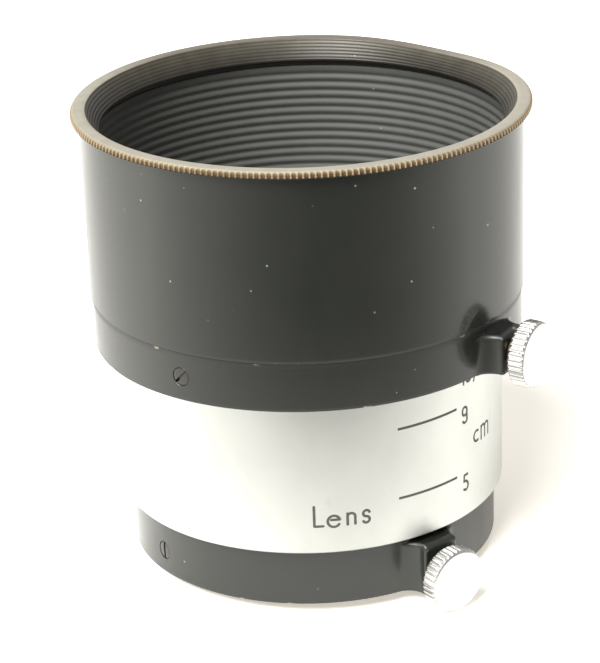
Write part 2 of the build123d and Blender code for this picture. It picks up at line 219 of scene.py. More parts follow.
def rounded(corners, closed=True, arc=4):
    """Rows (radius, height, wear, tone) of an outline, from corners that give radius, height,
    rounding and tone. Outer corners get wear 1, which fades a short way along the sides. The
    tone of a corner is that of the side that starts there."""
    spots = np.array([c[:2] for c in corners], float)
    following = np.roll(spots, -1, axis=0)
    area = np.sum(spots[:, 0] * following[:, 1] - following[:, 0] * spots[:, 1])
    count = len(corners)
    bends = []
    for i, (_, _, radius, tone) in enumerate(corners):
        before, here, after = spots[i - 1], spots[i], spots[(i + 1) % count]
        back, on = before - here, after - here
        ends = not closed and i in (0, count - 1)
        if radius == 0 or ends:
            bends.append([(here, 0.0, tone)])
            continue
        reach = min(radius, 0.45 * np.linalg.norm(back), 0.45 * np.linalg.norm(on))
        start = here + back / np.linalg.norm(back) * reach
        stop = here + on / np.linalg.norm(on) * reach
        turn = -back[0] * on[1] + back[1] * on[0]
        wear = 1.0 if turn * area > 0 else 0.0
        bend = []
        for s in np.linspace(0, 1, arc):
            spot = (1 - s) ** 2 * start + 2 * s * (1 - s) * here + s**2 * stop
            bend.append((spot, wear, corners[i - 1][3] if s < 0.5 else tone))
        bends.append(bend)
    rows = []
    for i, bend in enumerate(bends):
        rows += [(*spot, wear, tone) for spot, wear, tone in bend]
        if not closed and i == count - 1:
            break
        start, stop = bend[-1][0], bends[(i + 1) % count][0][0]
        length = np.linalg.norm(stop - start)
        if length > 2.5 * FADE:
            inner = max(1, math.ceil((length - 2 * FADE) / STEP))
            for share in np.linspace(FADE / length, 1 - FADE / length, inner + 1):
                rows.append((*(start + (stop - start) * share), 0.0, corners[i][3]))
    return np.array(rows)


def surface(name, points, attributes, closed=True):
    """Mesh object from a grid of points (rows, columns, 3) that closes around its columns."""
    rows, columns = points.shape[:2]
    index = np.arange(rows * columns).reshape(rows, columns)
    beside = np.roll(index, -1, axis=1)
    above, diagonal = np.roll(index, -1, axis=0), np.roll(beside, -1, axis=0)
    quads = np.stack([index, beside, diagonal, above], axis=-1)
    if not closed:
        quads = quads[:-1]
    mesh = bpy.data.meshes.new(name)
    mesh.from_pydata((points.reshape(-1, 3) * MM).tolist(), [], quads.reshape(-1, 4).tolist())
    for label, values in attributes.items():
        layer = mesh.attributes.new(label, "FLOAT", "POINT")
        layer.data.foreach_set("value", np.ascontiguousarray(values, np.float32).ravel())
    weld(mesh)
    piece = bpy.data.objects.new(name, mesh)
    bpy.context.scene.collection.objects.link(piece)
    return piece


def weld(mesh, reach=WELD):
    """Joins points that coincide, drops slivers, turns faces outwards and shades curves smooth."""
    work = bmesh.new()
    work.from_mesh(mesh)
    bmesh.ops.remove_doubles(work, verts=work.verts, dist=reach * MM)
    bmesh.ops.dissolve_degenerate(work, edges=work.edges, dist=reach * MM)
    bmesh.ops.recalc_face_normals(work, faces=work.faces)
    work.to_mesh(mesh)
    work.free()
    mesh.shade_smooth()
    mesh.set_sharp_from_angle(angle=SMOOTH_ANGLE)


def turned(name, outline, columns, place, closed=True, crest=None, tooth=0.0, bend=None):
    """Turned piece. crest gives a knurl's outer radius for each column's angle."""
    angles = np.arange(columns) * (2 * math.pi / columns)
    radius = np.repeat(outline[:, :1], columns, axis=1)
    wear = np.repeat(outline[:, 2:3], columns, axis=1)
    if crest is not None:
        edge = crest(angles)[None, :]
        valley = edge.max() - tooth
        knurled = radius > valley
        radius = np.minimum(radius, edge)
        wear = np.where(knurled, (radius - valley) / tooth, wear)
    local = np.stack(
        [
            radius * np.cos(angles),
            radius * np.sin(angles),
            np.repeat(outline[:, 1:2], columns, axis=1),
        ],
        axis=-1,
    )
    points = place.points(local)
    if bend is not None:
        points = bend(points)
    tone = np.repeat(outline[:, 3:4], columns, axis=1)
    return surface(name, points, {"wear": wear, "tone": tone, "spin": radius}, closed)


def knurl(crest_r, depth, teeth, slope):
    """Outer radius of a straight knurl. The slope is the share of half a tooth that lies
    between crest and valley."""

    def edge(angles):
        share = (angles * teeth / (2 * math.pi)) % 1
        ramp = np.clip((1 - np.abs(2 * share - 1)) / slope, 0, 1)
        return crest_r - depth * ramp * ramp * (3 - 2 * ramp)

    return edge


def arc_points(centre, radius, start, stop, count):
    """Points on an arc, without its last one. Angles are in radians."""
    turns = np.linspace(start, stop, count, endpoint=False)
    return np.stack([centre[0] + radius * np.cos(turns), centre[1] + radius * np.sin(turns)], 1)


def line_points(start, stop, count):
    """Points on a line, without its last one."""
    return np.linspace(start, stop, count, endpoint=False)


def lug_outline(collar_r):
    """Closed outline of a collar with a lug on its +x side, blended in and with rounded corners."""
    blend_y = LUG_HALF_WIDTH + LUG_BLEND
    blend_x = math.sqrt((collar_r + LUG_BLEND) ** 2 - blend_y**2)
    tangent = math.atan2(blend_y, blend_x)
    end = collar_r + LUG_REACH
    corner = (end - LUG_CORNER, LUG_HALF_WIDTH - LUG_CORNER)
    half = np.concatenate(
        [
            line_points((end, 0), (end, corner[1]), 5),
            arc_points(corner, LUG_CORNER, 0, math.pi / 2, 6),
            line_points((corner[0], LUG_HALF_WIDTH), (blend_x, LUG_HALF_WIDTH), 3),
            arc_points((blend_x, blend_y), LUG_BLEND, 1.5 * math.pi, math.pi + tangent, 10),
            arc_points((0, 0), collar_r, tangent, math.pi, COLLAR_HALF),
            [(-collar_r, 0)],
        ]
    )
    mirrored = half[1:-1][::-1] * (1, -1)
    return np.concatenate([half, mirrored])


def collar(name, collar_r, azimuth, bottom, top, lug_top, bore):
    """Collar with a lug: its outside is swept up the outline, and its bore is turned."""
    outline = lug_outline(collar_r)
    across = np.roll(outline, -1, axis=0) - np.roll(outline, 1, axis=0)
    normal = np.stack([across[:, 1], -across[:, 0]], 1)
    normal /= np.linalg.norm(normal, axis=1)[:, None]
    distance = np.linalg.norm(outline, axis=1)
    circle = outline / distance[:, None] * collar_r
    on_lug = np.clip((distance - collar_r) / LUG_CHAMFER, 0, 1)
    rows, heights, wears = [], [], []

    def add(spot, height, wear):
        rows.append(spot)
        heights.append(np.broadcast_to(height, distance.shape))
        wears.append(np.broadcast_to(wear, distance.shape))

    for inset, rise in ((1.0, 0.0), (0.35, 0.1), (0.1, 0.35), (0.0, 1.0)):
        add(outline - normal * inset * EDGE, bottom + rise * EDGE, 1.0)
    side_top = lug_top - LUG_CHAMFER
    for height in np.linspace(bottom + EDGE + FADE, side_top - FADE, 5):
        add(outline, height, 0.0)
    crown = [(0.0, 0.0, 1, 1), (0.12, 0.3, 1, 1), (0.5, 0.75, 1, 1), (1.0, 1.0, 1, 1)]
    face = [(1.0, 1.0, 0.7, 0), (1.0, 1.0, 0.4, 0), (1.0, 1.05, 0.15, 0), (1.0, 1.0, 0.0, 0)]
    last = len(crown) + len(face) - 1
    for i, (inset, rise, spread, wear) in enumerate(crown + face):
        spot = outline - normal * (inset * LUG_CHAMFER * on_lug)[:, None]
        spot = circle + (spot - circle) * spread
        lug_height = side_top + rise * LUG_CHAMFER + (LUG_FILLET if i == last else 0.0)
        plain = side_top + (LUG_CHAMFER + LUG_FILLET) * i / last
        add(spot, plain + (lug_height - plain) * on_lug, wear * on_lug)
    add(circle, lug_top + LUG_FILLET + 0.5 * EDGE, 0.0)
    for inset, drop in ((0.0, 1.0), (0.1, 0.35), (0.35, 0.1), (1.0, 0.0)):
        add(circle * (1 - inset * EDGE / collar_r), top - drop * EDGE, 1.0)
    outer = np.dstack([np.array(rows), np.array(heights)])
    inner_rows = rounded(bore, closed=False)
    ring = circle / collar_r
    inner = np.stack(
        [np.column_stack([ring * row[0], np.full(len(ring), row[1])]) for row in inner_rows]
    )
    points = level(azimuth).points(np.concatenate([outer, inner]))
    inner_wear = np.repeat(inner_rows[:, 2:3], len(ring), axis=1)
    wear = np.concatenate([np.array(wears), inner_wear])
    tone = np.zeros(wear.shape)
    tone[len(rows) :] = 1.0
    return surface(name, points, {"wear": wear, "tone": tone})


def cut(piece, *cutters):
    """Takes the cutters' shapes out of a piece, then removes the cutters."""
    for cutter in cutters:
        trim = piece.modifiers.new("trim", "BOOLEAN")
        trim.operation = "DIFFERENCE"
        trim.solver = "EXACT"
        trim.object = cutter
    bpy.context.view_layer.update()
    shaped = piece.evaluated_get(bpy.context.evaluated_depsgraph_get())
    mesh = bpy.data.meshes.new_from_object(shaped)
    piece.modifiers.clear()
    piece.data = mesh
    weld(mesh, CUT_WELD)
    for cutter in cutters:
        bpy.data.objects.remove(cutter)


def drill(radius, start, stop, flare, place):
    """Cutter for a hole along a radial axis, with a small flare at its outer end."""
    corners = [
        (0, start, 0, 0),
        (radius, start, 0, 0),
        (radius, stop - flare, 0, 0),
        (radius + flare, stop, 0, 0),
        (radius + flare, stop + 1, 0, 0),
        (0, stop + 1, 0, 0),
    ]
    return turned("drill", rounded(corners, closed=False), DRILL_COLUMNS, place, closed=False)


def knocked(points):
    """The mouth's dent: a stretch at the back right is pushed in and down."""
    azimuth = np.degrees(np.arctan2(points[..., 0], -points[..., 1]))
    side = np.exp(-(((azimuth - DENT_AZIMUTH) / DENT_SPREAD) ** 2))
    rise = np.clip((points[..., 2] - DENT_FOOT) / (RIM_TOP - DENT_FOOT), 0, 1)
    amount = side * rise * rise * (3 - 2 * rise)
    shrink = 1 - amount * DENT_INWARDS / np.hypot(points[..., 0], points[..., 1])
    moved = points.copy()
    moved[..., 0] *= shrink
    moved[..., 1] *= shrink
    moved[..., 2] -= amount * DENT_DOWN
    return moved


# ---------------------------------------------------------------- materials


class Recipe:
    """One material's node tree, with short calls for the nodes that it uses."""

    def __init__(self, name):
        self.material = bpy.data.materials.new(name)
        self.material.use_nodes = True
        self.tree = self.material.node_tree
        self.tree.nodes.clear()
        self.place = self.add("ShaderNodeTexCoord").outputs["Object"]

    def add(self, kind, **settings):
        node = self.tree.nodes.new(kind)
        for key, value in settings.items():
            setattr(node, key, value)
        return node

    def feed(self, socket, value):
        if isinstance(value, bpy.types.NodeSocket):
            self.tree.links.new(value, socket)
        elif socket.type == "RGBA":
            socket.default_value = (*value, 1.0)
        else:
            socket.default_value = value

    def math(self, operation, a, b=0.0, c=0.0, clamp=False):
        node = self.add("ShaderNodeMath", operation=operation, use_clamp=clamp)
        for socket, value in zip(node.inputs, (a, b, c)):
            self.feed(socket, value)
        return node.outputs[0]

    def attribute(self, name):
        return self.add("ShaderNodeAttribute", attribute_name=name).outputs["Fac"]

    def stretch(self, x, y, z):
        node = self.add("ShaderNodeVectorMath", operation="MULTIPLY")
        self.feed(node.inputs[0], self.place)
        node.inputs[1].default_value = (x, y, z)
        return node.outputs[0]

    def noise(self, scale, detail=3.0, roughness=0.5, vector=None):
        node = self.add("ShaderNodeTexNoise")
        self.feed(node.inputs["Vector"], vector or self.place)
        self.feed(node.inputs["Scale"], scale)
        self.feed(node.inputs["Detail"], detail)
        self.feed(node.inputs["Roughness"], roughness)
        return node.outputs["Fac"]

    def ramp(self, value, start, stop, low=0.0, high=1.0):
        node = self.add("ShaderNodeMapRange", interpolation_type="SMOOTHSTEP")
        for key, item in zip(
            ("Value", "From Min", "From Max", "To Min", "To Max"), (value, start, stop, low, high)
        ):
            self.feed(node.inputs[key], item)
        return node.outputs["Result"]

    def mix(self, share, a, b):
        node = self.add("ShaderNodeMix", data_type="RGBA")
        self.feed(node.inputs["Factor"], share)
        self.feed(node.inputs[6], a)
        self.feed(node.inputs[7], b)
        return node.outputs[2]

    def blend(self, share, a, b):
        node = self.add("ShaderNodeMix", data_type="FLOAT")
        self.feed(node.inputs["Factor"], share)
        self.feed(node.inputs[2], a)
        self.feed(node.inputs[3], b)
        return node.outputs[0]

    def specks(self, scale, size, share):
        """Small round spots, in a share of the cells of a grid."""
        cells = self.add("ShaderNodeTexVoronoi")
        self.feed(cells.inputs["Vector"], self.place)
        self.feed(cells.inputs["Scale"], scale)
        parts = self.add("ShaderNodeSeparateColor")
        self.feed(parts.inputs[0], cells.outputs["Color"])
        chosen = self.math("LESS_THAN", parts.outputs[0], share)
        spread = self.math("MULTIPLY_ADD", parts.outputs[1], size, 0.4 * size)
        spot = self.ramp(cells.outputs["Distance"], spread, 0.0)
        return self.math("MULTIPLY", chosen, spot)

    def edges(self, radius):
        """Share of wear on the edges of a mesh that carries no wear of its own."""
        soft = self.add("ShaderNodeBevel", samples=6)
        self.feed(soft.inputs["Radius"], radius * MM)
        along = self.add("ShaderNodeVectorMath", operation="DOT_PRODUCT")
        self.feed(along.inputs[0], soft.outputs[0])
        self.feed(along.inputs[1], self.add("ShaderNodeNewGeometry").outputs["Normal"])
        return self.ramp(along.outputs["Value"], 0.995, 0.85)

    def bump(self, height, depth, before=None):
        node = self.add("ShaderNodeBump")
        self.feed(node.inputs["Height"], height)
        self.feed(node.inputs["Distance"], depth * MM)
        if before is not None:
            self.feed(node.inputs["Normal"], before)
        return node.outputs[0]

    def finish(self, color, roughness, metallic=0.0, normal=None, ior=1.5):
        shader = self.add("ShaderNodeBsdfPrincipled")
        self.feed(shader.inputs["Base Color"], color)
        self.feed(shader.inputs["Roughness"], roughness)
        self.feed(shader.inputs["Metallic"], metallic)
        self.feed(shader.inputs["IOR"], ior)
        if normal is not None:
            self.feed(shader.inputs["Normal"], normal)
        out = self.add("ShaderNodeOutputMaterial")
        self.tree.links.new(shader.outputs[0], out.inputs["Surface"])
        return self.material


def black_lacquer():
    """Semi-gloss black outside, matt black in the bore, dusty, rubbed to brass at the edges, and with painted
    shade where wear is below zero.
    """
    m = Recipe("black_lacquer")
    wear, tone = m.attribute("wear"), m.attribute("tone")
    broad, patch, grain = m.noise(70), m.noise(420), m.noise(2600, 5)
    gloss_color = m.mix(broad, (0.009, 0.0105, 0.0085), (0.017, 0.0185, 0.015))
    matt_color = m.mix(patch, (0.060, 0.061, 0.055), (0.083, 0.083, 0.075))
    color = m.mix(tone, gloss_color, matt_color)
    dust = m.specks(480, 0.075, 0.5)
    color = m.mix(m.math("MULTIPLY", dust, 0.7), color, (0.42, 0.41, 0.38))
    outside = m.math("MULTIPLY", m.math("MAXIMUM", wear, 0.0), m.math("SUBTRACT", 1.0, tone))
    rub = m.math("MULTIPLY", outside, m.ramp(m.noise(420, 4), 0.46, 0.74))
    bare = m.ramp(m.math("MULTIPLY_ADD", grain, 0.5, rub), 0.92, 1.12)
    # Painted shade: where wear is below zero, at the barrel's ends, the colour turns dark brown and dull.
    grime_and_shade = m.math("MAXIMUM", m.math("MULTIPLY", wear, -1.0), 0.0)
    color = m.mix(bare, color, (0.34, 0.29, 0.21))
    color = m.mix(grime_and_shade, color, (0.022, 0.014, 0.008))
    smear = m.ramp(m.noise(130, 5, 0.6, m.stretch(1, 1, 0.35)), 0.35, 0.7)
    gloss = m.blend(outside, m.blend(smear, 0.15, 0.25), 0.42)
    matt = m.blend(patch, 0.62, 0.75)
    roughness = m.blend(tone, gloss, matt)
    roughness = m.blend(m.math("MAXIMUM", dust, bare), roughness, 0.55)
    roughness = m.blend(grime_and_shade, roughness, 0.9)
    normal = m.bump(m.noise(900, 2), 0.0012)
    normal = m.bump(m.math("MULTIPLY", grain, m.blend(tone, 0.15, 1.0)), 0.004, normal)
    metallic = m.math("MULTIPLY", bare, 0.5)
    return m.finish(color, roughness, metallic, normal, ior=1.6)


def worn_brass():
    """Front rim: brass crests over dark valleys, a rubbed top face and a brownish grey cone, with painted shade on
    the back, on faces turned down, at the foot and deep in the cone.
    """
    m = Recipe("worn_brass")
    wear, tone = m.attribute("wear"), m.attribute("tone")
    broad, patch, grain = m.noise(90), m.noise(650, 4), m.noise(3200, 5)
    height = m.add("ShaderNodeSeparateXYZ")
    m.feed(height.inputs[0], m.place)
    middle = (BARREL_TOP + RIM_TOP - BEVEL_H) / 2
    rise = m.ramp(height.outputs["Z"], middle * MM, (RIM_TOP - 0.1) * MM)
    crest_low = m.mix(patch, (0.36, 0.27, 0.165), (0.50, 0.40, 0.27))
    crest_high = m.mix(patch, (0.36, 0.29, 0.19), (0.48, 0.40, 0.28))
    valley = m.mix(broad, (0.100, 0.062, 0.027), (0.160, 0.110, 0.050))
    valley = m.mix(rise, valley, (0.30, 0.235, 0.15))
    knurled = m.mix(m.ramp(wear, 0.25, 0.9), valley, m.mix(rise, crest_low, crest_high))
    cone = m.mix(patch, (0.052, 0.046, 0.032), (0.094, 0.085, 0.064))
    # Painted shade: the cone darkens towards its bottom, deeper in the mouth.
    depth = m.ramp(height.outputs["Z"], LIP_Z * MM, RIM_TOP * MM, 0.4, 1.0)
    cone = m.mix(depth, (0.0, 0.0, 0.0), cone)
    top = m.mix(patch, (0.30, 0.275, 0.215), (0.44, 0.41, 0.335))
    # Painted shade: the back of the rim, towards +Y, is darkened to a dark brownish grey.
    tarnish_and_shade = m.ramp(height.outputs["Y"], 0.25 * RIM_R * MM, 0.85 * RIM_R * MM, 0.0, 0.85)
    facing = m.add("ShaderNodeSeparateXYZ")
    m.feed(facing.inputs[0], m.add("ShaderNodeNewGeometry").outputs["Normal"])
    on_top = m.ramp(facing.outputs["Z"], 0.6, 0.95)
    # Painted shade: faces turned downwards are darkened.
    below = m.ramp(facing.outputs["Z"], -0.3, -0.8)
    outside = m.mix(on_top, knurled, top)
    outside = m.mix(tarnish_and_shade, outside, m.mix(patch, (0.10, 0.085, 0.060), (0.15, 0.13, 0.10)))
    color = m.mix(tone, outside, cone)
    # Painted shade: a thin band at the rim's foot, just above the barrel, is darkened like the faces turned
    # downwards.
    foot_high, foot_low = BARREL_TOP + 1.5 * EDGE, BARREL_TOP + 0.5 * EDGE
    foot = m.ramp(height.outputs["Z"], foot_high * MM, foot_low * MM)
    foot = m.math("MULTIPLY", foot, m.math("SUBTRACT", 1.0, tone))
    color = m.mix(m.math("MAXIMUM", below, foot), color, (0.045, 0.028, 0.013))
    color = m.mix(m.math("MULTIPLY", m.specks(500, 0.06, 0.3), 0.6), color, (0.5, 0.49, 0.45))
    metallic = m.blend(tone, m.blend(on_top, m.blend(rise, 0.6, 0.4), 0.35), 0.2)
    dull = m.math("MULTIPLY", rise, m.math("SUBTRACT", 1.0, on_top))
    rubbed = m.blend(dull, m.blend(patch, 0.38, 0.52), 0.66)
    roughness = m.blend(tone, rubbed, m.blend(patch, 0.36, 0.5))
    normal = m.bump(grain, 0.004)
    return m.finish(color, roughness, metallic, normal)


def satin_chrome():
    """Inner tube: satin chrome outside with faint stains and pits, matt black inside."""
    m = Recipe("satin_chrome")
    spot = m.add("ShaderNodeVectorMath", operation="LENGTH")
    m.feed(spot.inputs[0], m.stretch(1, 1, 0))
    inside = m.math("LESS_THAN", spot.outputs["Value"], (TUBE_R - 0.6) * MM)
    broad = m.noise(85, 4, 0.55, m.stretch(1, 1, 0.6))
    patch, grain = m.noise(700, 4), m.noise(6500, 3)
    chrome = m.mix(m.ramp(broad, 0.35, 0.7), (0.70, 0.71, 0.685), (0.63, 0.64, 0.615))
    chrome = m.mix(m.ramp(m.noise(260, 5, 0.6), 0.6, 0.78), chrome, (0.59, 0.60, 0.58))
    pits = m.specks(251, 0.06, 0.05)
    chrome = m.mix(m.math("MULTIPLY", pits, 0.75), chrome, (0.16, 0.15, 0.13))
    bore = m.mix(patch, (0.030, 0.031, 0.029), (0.055, 0.056, 0.052))
    color = m.mix(inside, chrome, bore)
    satin = m.blend(broad, 0.30, 0.42)
    roughness = m.blend(inside, m.blend(pits, satin, 0.7), 0.6)
    metallic = m.math("SUBTRACT", 1.0, inside)
    normal = m.bump(grain, 0.0012)
    normal = m.bump(m.math("SUBTRACT", 1.0, pits), 0.02, normal)
    return m.finish(color, roughness, metallic, normal)


def bright_nickel():
    """Thumbscrews: bright plate, turned rings on the face, grime in the knurl."""
    m = Recipe("bright_nickel")
    wear, tone = m.attribute("wear"), m.attribute("tone")
    spin = m.attribute("spin")
    broad, grain = m.noise(500, 4), m.noise(5200, 4)
    plate = m.mix(broad, (0.80, 0.785, 0.75), (0.90, 0.885, 0.86))
    grime_and_shade = m.math("MULTIPLY", m.math("MINIMUM", tone, 1.0), m.ramp(wear, 0.5, 0.0))
    color = m.mix(m.math("MULTIPLY", grime_and_shade, 0.6), plate, (0.20, 0.19, 0.175))
    stem = m.math("GREATER_THAN", tone, 1.5)
    color = m.mix(stem, color, m.mix(broad, (0.09, 0.058, 0.028), (0.20, 0.14, 0.07)))
    roughness = m.blend(grime_and_shade, m.blend(broad, 0.16, 0.30), 0.6)
    roughness = m.blend(stem, roughness, 0.5)
    rings = m.math("SINE", m.math("MULTIPLY", spin, 46.0))
    normal = m.bump(rings, 0.0009)
    normal = m.bump(grain, 0.0015, normal)
    return m.finish(color, roughness, 1.0, normal)


def small_screw():
    """Band screws: blackened brass, a little bare at the edges of head and slot."""
    m = Recipe("blackened_brass")
    patch, grain = m.noise(1500, 4), m.noise(5200, 4)
    rub = m.math("MULTIPLY", m.edges(0.12), m.ramp(patch, 0.35, 0.6))
    color = m.mix(patch, (0.012, 0.012, 0.010), (0.022, 0.021, 0.017))
    color = m.mix(m.math("MULTIPLY", rub, 0.5), color, (0.20, 0.15, 0.09))
    metallic = m.math("MULTIPLY", rub, 0.5)
    return m.finish(color, m.blend(patch, 0.18, 0.3), metallic, m.bump(grain, 0.002), ior=1.6)


def spring_bronze():
    """Clamp bands: rolled bronze, streaked along its length and darker where it is tarnished."""
    m = Recipe("spring_bronze")
    streak = m.noise(900, 4, 0.6, m.stretch(0.15, 0.15, 2.5))
    tarnish_and_shade = m.ramp(m.noise(240, 5, 0.6), 0.4, 0.7)
    color = m.mix(streak, (0.40, 0.26, 0.13), (0.56, 0.40, 0.22))
    color = m.mix(tarnish_and_shade, color, (0.16, 0.10, 0.055))
    color = m.mix(m.math("MULTIPLY", m.edges(0.08), 0.6), color, (0.72, 0.56, 0.34))
    return m.finish(color, m.blend(tarnish_and_shade, 0.28, 0.5), 1.0, m.bump(streak, 0.003))


def dull_bronze():
    """Guide ring: spring bronze with a dull brown skin, bright on its edges."""
    m = Recipe("dull_bronze")
    streak = m.noise(1200, 4, 0.6, m.stretch(0.2, 0.2, 3.0))
    skin = m.ramp(m.noise(300, 5, 0.6), 0.3, 0.7)
    color = m.mix(streak, (0.34, 0.25, 0.12), (0.50, 0.39, 0.21))
    color = m.mix(skin, color, (0.12, 0.085, 0.045))
    color = m.mix(m.math("MULTIPLY", m.edges(0.08), 0.6), color, (0.68, 0.55, 0.33))
    return m.finish(color, m.blend(skin, 0.34, 0.55), 1.0, m.bump(streak, 0.003))


def engraving_paint():
    """Old black paint in the engraving, a little uneven and chipped at its edges."""
    m = Recipe("engraving_paint")
    patch, grain = m.noise(2200, 4), m.noise(9000, 3)
    color = m.mix(patch, (0.030, 0.030, 0.026), (0.085, 0.084, 0.074))
    worn = m.math("MULTIPLY", m.edges(0.05), m.ramp(patch, 0.45, 0.65))
    color = m.mix(worn, color, (0.16, 0.155, 0.14))
    return m.finish(color, m.blend(patch, 0.45, 0.65), 0.0, m.bump(grain, 0.004))


# ---------------------------------------------------------------- pieces


def place_piece(piece, material, node):
    """Gives a piece its material and puts it on the body of the CAD node that it stands for."""
    piece.data.materials.clear()
    piece.data.materials.append(material)
    body = next(b for b, nodes in frame["record"]["behaviour"]["bodies"].items() if node in nodes)
    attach(piece, body)
    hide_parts(node)
    return piece


def joint_azimuth(joint):
    """Azimuth of a thumbscrew, whose axis points inwards."""
    x, y, _ = joints[joint]["axis"]
    return math.degrees(math.atan2(-x, y))


def barrel_outline():
    """Barrel: plain outside with painted shade at both ends, a spigot below, and a bore with ribs,
    an undercut and a seat."""
    corners = [
        (SPIGOT_BORE, BARREL_Z, 0.1, 0),
        (SPIGOT_R, BARREL_Z, 0.1, 0),
        (SPIGOT_R, HOOD_COLLAR_TOP, 0, 0),
        (BARREL_R - EDGE, HOOD_COLLAR_TOP, 0.05, 0),
        (BARREL_R, HOOD_COLLAR_TOP + EDGE, 0.08, 0),
        (BARREL_R, BARREL_TOP, 0.06, 0),
        (RIM_SEAT_R + SEAT, BARREL_TOP, 0.05, 1),
        (RIM_SEAT_R + SEAT, LIP_Z, 0, 1),
        (UNDERCUT_R, LIP_Z, 0, 1),
        (UNDERCUT_R, UNDERCUT_Z, 0.08, 1),
        (BARREL_BORE_R, UNDERCUT_Z, 0.12, 1),
    ]
    for i in reversed(range(RIB_COUNT)):
        middle = RIB_FIRST + i * RIB_PITCH
        corners += [
            (BARREL_BORE_R, middle + RIB_HALF, 0.2, 1),
            (BARREL_BORE_R + RIB_DEPTH, middle, 0.15, 1),
            (BARREL_BORE_R, middle - RIB_HALF, 0.2, 1),
        ]
    corners += [
        (BARREL_BORE_R, HOOD_COLLAR_TOP, 0.1, 1),
        (SPIGOT_BORE, HOOD_COLLAR_TOP, 0.1, 1),
    ]
    rows = rounded(corners, arc=3)
    # Painted shade: outside rows close to either end get wear -1, which the lacquer paints as a dark brown band.
    ends = (rows[:, 1] < HOOD_COLLAR_TOP + PAINTED_SHADE_REACH) | (rows[:, 1] > BARREL_TOP - PAINTED_SHADE_REACH)
    rows[ends & (rows[:, 0] > RIM_SEAT_R), 2] = -1.0
    return rows


def rim_outline():
    """Front rim: seat in the barrel, bevelled flange, top, and a grooved cone down to the lip."""
    corners = [
        (LIP_R, LIP_Z, 0.06, 0),
        (RIM_SEAT_R, LIP_Z, 0.05, 0),
        (RIM_SEAT_R, BARREL_TOP, 0, 0),
        (RIM_R - EDGE, BARREL_TOP, 0.05, 0),
        (RIM_R, BARREL_TOP + EDGE, 0.1, 0),
        (RIM_R, RIM_TOP - BEVEL_H, 0.15, 0),
        (RIM_R - BEVEL_IN, RIM_TOP - SEAT, 0.15, 0),
        (MOUTH_R + BEVEL_IN, RIM_TOP, 0.2, 0),
        (MOUTH_R, RIM_TOP - EDGE, 0.3, 1),
    ]
    mouth, lip = np.array([MOUTH_R, RIM_TOP - EDGE]), np.array([LIP_R, LIP_Z + LIP_H])
    down = lip - mouth
    out = np.array([-down[1], down[0]]) / np.linalg.norm(down) * CONE_GROOVE_DEPTH
    for i in range(CONE_GROOVES):
        for part, depth in ((0.3, 0.0), (0.5, 1.0), (0.7, 0.0)):
            spot = mouth + down * ((i + part) / CONE_GROOVES) + out * depth
            corners.append((*spot, 0, 1))
    corners.append((*lip, 0.08, 1))
    return rounded(corners, arc=3)


def thumbscrew(name, joint, face_r, tip_r):
    """Thumbscrew: threaded stem, knurled head with rounded edges and a slightly domed face."""
    back = face_r - HEAD_THICKNESS
    corners = [
        (0, tip_r, 0, 2),
        (STEM_R - LEAD_IN, tip_r, 0.1, 2),
        (STEM_R, tip_r + LEAD_IN, 0.1, 2),
    ]
    crest = tip_r + THREAD_START
    while crest < back - THREAD_PITCH:
        corners += [
            (STEM_R, crest - 0.05, 0, 2),
            (STEM_R - THREAD_DEPTH, crest + THREAD_PITCH / 2, 0.05, 2),
        ]
        crest += THREAD_PITCH
    corners += [
        (STEM_R, back - NECK, 0, 2),
        (STEM_R + NECK, back, 0.1, 1),
        (HEAD_R - HEAD_CHAMFER, back, 0.15, 1),
        (HEAD_R, back + HEAD_CHAMFER, 0.12, 1),
        (HEAD_R, face_r - HEAD_CHAMFER, 0.12, 1),
        (HEAD_R - HEAD_CHAMFER, face_r, 0.15, 0),
        (DISH_R, face_r + DISH_H, 0.3, 0),
        (DOME_R, face_r + DOME_H, 0.6, 0),
        (0, face_r + DOME_H + 0.01, 0, 0),
    ]
    height = joints[joint]["pos_m"][2] / MM
    return turned(
        name,
        rounded(corners, closed=False),
        HEAD_TEETH * HEAD_TOOTH_COLUMNS,
        radial(joint_azimuth(joint), height),
        closed=False,
        crest=knurl(HEAD_R, HEAD_TOOTH, HEAD_TEETH, 1.0),
        tooth=HEAD_TOOTH,
    )


def band_screw(name, place, collar_r, tip_r, slot_tilt):
    """Small cheese-head screw with a slot, sunk into a collar."""
    face = collar_r - SMALL_SINK
    neck = face - SMALL_HEAD_H
    corners = [
        (0, tip_r, 0, 0),
        (SMALL_SHANK_R, tip_r, 0.1, 0),
        (SMALL_SHANK_R, neck, 0, 0),
        (SMALL_HEAD_R, neck, 0.06, 0),
        (SMALL_HEAD_R, face, 0.12, 0),
        (SMALL_DOME_R, face + SMALL_DOME_H, 0.2, 0),
        (0, face + SMALL_DOME_H, 0, 0),
    ]
    screw = turned(name, rounded(corners, closed=False), SCREW_COLUMNS, place, closed=False)
    bpy.ops.mesh.primitive_cube_add(size=1)
    blade = bpy.context.object
    blade.scale = (3 * SMALL_HEAD_R * MM, SMALL_SLOT * MM, 2 * SMALL_SLOT_DEPTH * MM)
    centre = place.origin + face * place.axes[2]
    turn = Matrix([list(row) for row in place.axes.T]).to_4x4()
    spin = Matrix.Rotation(math.radians(slot_tilt), 4, "Z")
    size = Matrix.Diagonal((*blade.scale, 1))
    blade.matrix_world = Matrix.Translation(Vector(centre) * MM) @ turn @ spin @ size
    cut(screw, blade)
    return screw


